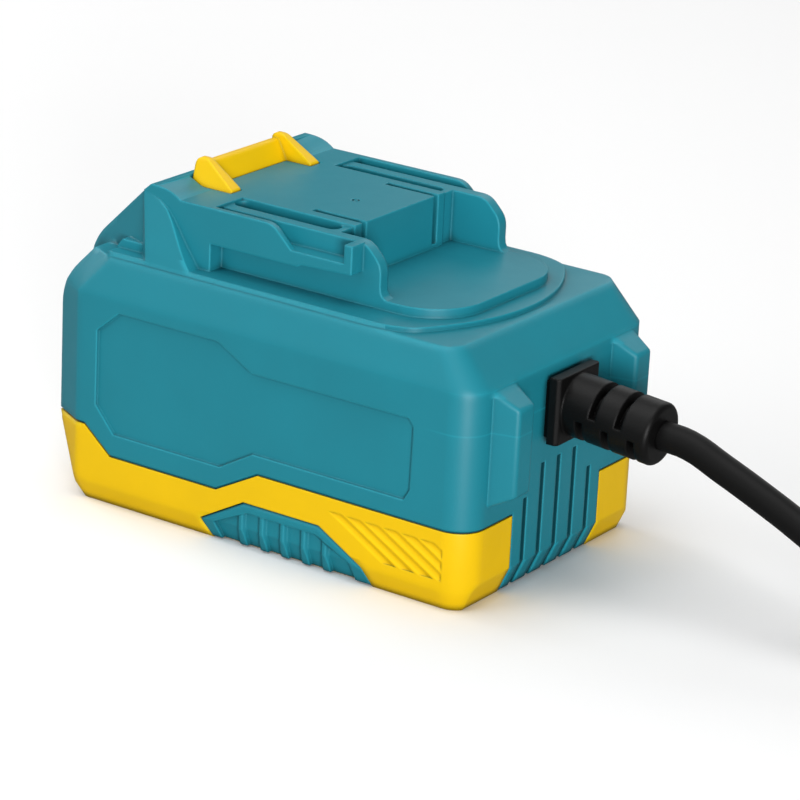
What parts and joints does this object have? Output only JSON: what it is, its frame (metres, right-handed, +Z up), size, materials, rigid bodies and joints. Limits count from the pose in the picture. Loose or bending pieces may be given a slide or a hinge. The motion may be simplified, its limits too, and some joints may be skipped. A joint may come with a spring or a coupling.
{
  "type": "power tool ac adapter",
  "caption": "Mains adapter shaped like a slide-in tool battery pack, with slide rails, sprung release latch, slotted strain relief and a coiled cord with plug.",
  "frame": {"origin": "on the table under the middle of the body, measured without the cord", "axes": "+X along the body towards the cord end, +Y to the side away from the camera, +Z up"},
  "size_m": [0.3169, 0.1005, 0.0844],
  "materials": {
    "teal_plastic": "fine grained moulding",
    "yellow_plastic": "satin moulding",
    "black_pvc": "soft matt moulding",
    "black_plastic": "satin moulding",
    "steel": "zinc plated",
    "nickel": "nickel plated",
    "brass": "stamped sheet",
    "copper_wire": "enamelled wire",
    "ferrite": "sintered, matt",
    "aluminium": "extruded",
    "board": "solder mask",
    "can_black": "sleeved can",
    "can_blue": "sleeved can",
    "film_yellow": "potted box",
    "ceramic": "fuse tube",
    "lead_brown": "insulated wire",
    "lead_blue": "insulated wire",
    "lead_red": "insulated wire",
    "lead_black": "insulated wire"
  },
  "bodies": {
    "adapter": {"upper_shell": "teal_plastic", "lower_shell": "yellow_plastic", "grip_left": "teal_plastic", "grip_right": "teal_plastic", "shell_screws": "steel", "terminal_block": "black_plastic", "positive_contact": "brass", "negative_contact": "brass", "latch_spring": "steel", "circuit_board": "board", "board_screws": "steel", "transformer_core": "ferrite", "transformer_winding": "copper_wire", "bulk_capacitor": "can_black", "output_capacitors": "can_blue", "x_capacitor": "film_yellow", "filter_choke": "copper_wire", "bridge_rectifier": "black_plastic", "input_fuse": "ceramic", "heatsink": "aluminium", "switching_transistor": "black_plastic", "output_diode": "black_plastic", "live_lead": "lead_brown", "neutral_lead": "lead_blue", "positive_lead": "lead_red", "negative_lead": "lead_black", "strain_relief": "black_pvc", "cord_run": "black_pvc", "cord_coil": "black_pvc", "cord_tail": "black_pvc", "coil_tie": "black_plastic", "plug_body": "black_pvc", "plug_pins": "nickel"},
    "latch": {"release_latch": "yellow_plastic"}
  },
  "joints": [
    {"name": "latch_slide", "type": "slide", "parent": "adapter", "child": "latch", "axis": [0, 0, -1], "range_m": [0, 0.0066], "stiffness_N_per_m": 400, "springref_m": -0.004, "deforming": ["latch_spring"]}
  ]
}
